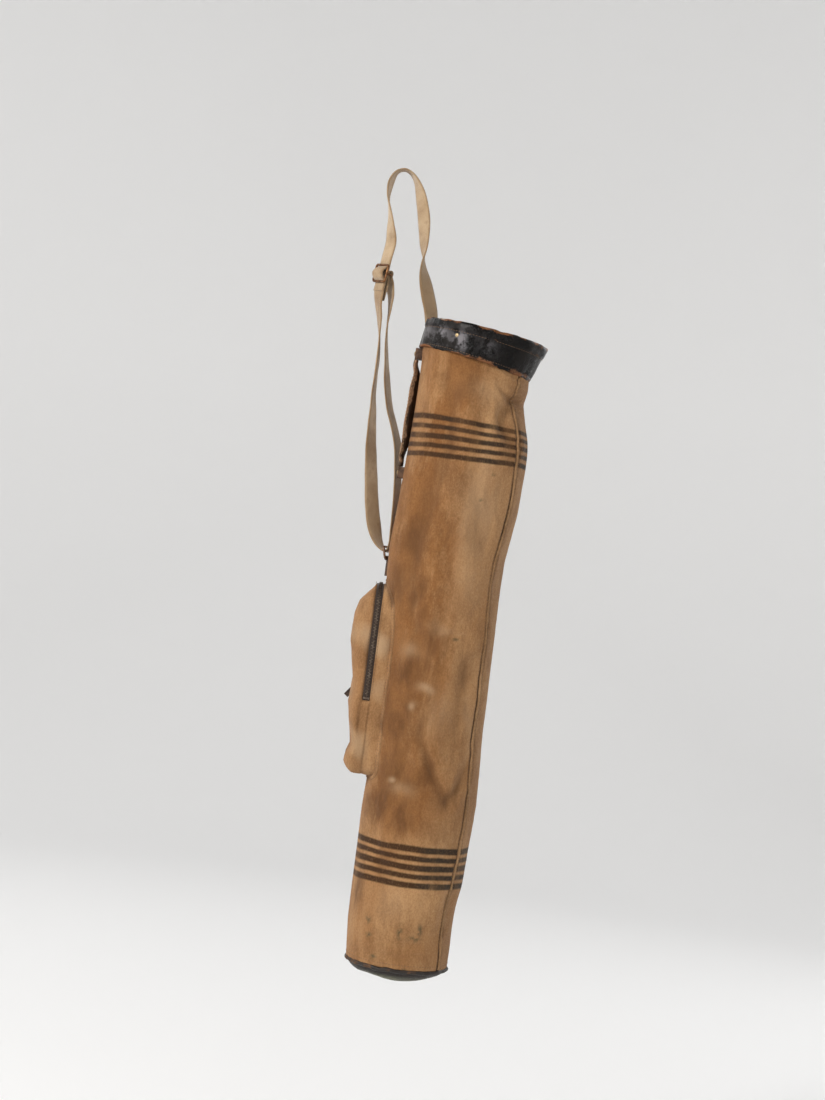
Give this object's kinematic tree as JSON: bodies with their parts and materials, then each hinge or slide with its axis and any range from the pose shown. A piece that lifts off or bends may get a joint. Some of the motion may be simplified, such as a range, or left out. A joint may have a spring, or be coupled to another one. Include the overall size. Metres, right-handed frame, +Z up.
{
  "type": "canvas golf club bag",
  "caption": "Slim vintage canvas golf bag with a leather collar, striped bands, zipped ball pocket, carry handle and a shoulder strap that it hangs by.",
  "frame": {"origin": "the hang point: the underside of the shoulder strap at its highest point, where a peg or hook bears", "axes": "+Z up along the bag from its foot to its mouth; -Y is the pictured front; -X is the side with the strap, handle and ball pocket"},
  "size_m": [0.2439, 0.1618, 1.084],
  "materials": {
    "canvas": "heavy cotton duck, woven, stained",
    "canvas_gore": "heavy cotton duck, woven, striped bands",
    "canvas_pocket": "heavy cotton duck, woven",
    "canvas_lining": "plain cotton duck, unfinished",
    "seam_piping": "canvas-covered piping, stitched",
    "base_piping": "rolled leather piping, worn",
    "base_cup": "coated canvas moulded over a cup, scuffed",
    "board": "pressed fibreboard",
    "collar_leather": "black bridle leather, cracked and rubbed brown at its edges",
    "rim_leather": "rolled leather binding, rubbed tan along the top",
    "lining_leather": "thin split leather",
    "steel_wire": "plain steel wire",
    "ash_slat": "straight-grained ash",
    "webbing": "cotton webbing, faded cream-tan",
    "slider_metal": "lacquered brass, browned",
    "ring_metal": "nickelled steel, rust-browned",
    "handle_leather": "stitched dark brown leather, edges rubbed tan",
    "sash_cord": "braided cotton cord filler",
    "rivet_brass": "domed brass, tarnished",
    "zip_tape": "dark brown herringbone tape",
    "zip_metal": "nickelled brass, dulled",
    "pull_leather": "dark brown leather"
  },
  "bodies": {
    "root": {"front_panel": "canvas", "back_panel": "canvas", "side_gore": "canvas_gore", "front_welt": "seam_piping", "back_welt": "seam_piping", "collar_band": "collar_leather", "collar_lining": "lining_leather", "rim_binding": "rim_leather", "mouth_hoop": "steel_wire", "collar_studs": "rivet_brass", "base_piping": "base_piping", "base_cup": "base_cup", "base_board": "board", "spine_stay": "ash_slat", "stay_sleeve": "canvas_lining", "shoulder_strap": "webbing", "strap_return": "webbing", "anchor_patch": "collar_leather", "anchor_rivets": "rivet_brass", "ring_chape": "handle_leather", "chape_rivet": "rivet_brass", "handle_top_tab": "handle_leather", "handle_low_tab": "handle_leather", "handle_rivets": "rivet_brass", "pocket_gusset": "canvas_pocket", "pocket_front": "canvas_pocket", "pocket_flange": "canvas_pocket", "zip_tape_inner": "zip_tape", "zip_tape_outer": "zip_tape", "zip_teeth_inner": "zip_metal", "zip_teeth_outer": "zip_metal", "zip_stops": "zip_metal"},
    "strap_slider": {"slider_frame": "slider_metal", "slider_bar": "slider_metal", "strap_end_loop": "webbing"},
    "ring": {"lower_ring": "ring_metal"},
    "handle": {"handle_grip": "handle_leather", "handle_core": "sash_cord"},
    "zip_runner": {"zip_slider": "zip_metal"},
    "zip_pull": {"zip_pull_link": "zip_metal", "zip_pull_tab": "pull_leather"}
  },
  "joints": [
    {"name": "strap_slide", "type": "slide", "parent": "root", "child": "strap_slider", "axis": [0.1288, 0, 0.9917], "range_m": [0, 0.03]},
    {"name": "ring_swing", "type": "hinge", "parent": "root", "child": "ring", "pos_m": [0.0449, -0.0306, -0.5265], "axis": [0.309, 0.9511, 0], "range_deg": [-8, 3.5]},
    {"name": "handle_flop", "type": "hinge", "parent": "root", "child": "handle", "pos_m": [0.0457, -0.048, -0.402], "axis": [0.0223, 0, 0.9998], "range_deg": [-12, 12]},
    {"name": "zip_slide", "type": "slide", "parent": "root", "child": "zip_runner", "axis": [0, 0, 1], "range_m": [-0.02, 0.075]},
    {"name": "zip_pull_hinge", "type": "hinge", "parent": "zip_runner", "child": "zip_pull", "pos_m": [0.04, -0.0145, -0.6825], "axis": [1, 0, 0], "range_deg": [0, 150]}
  ]
}
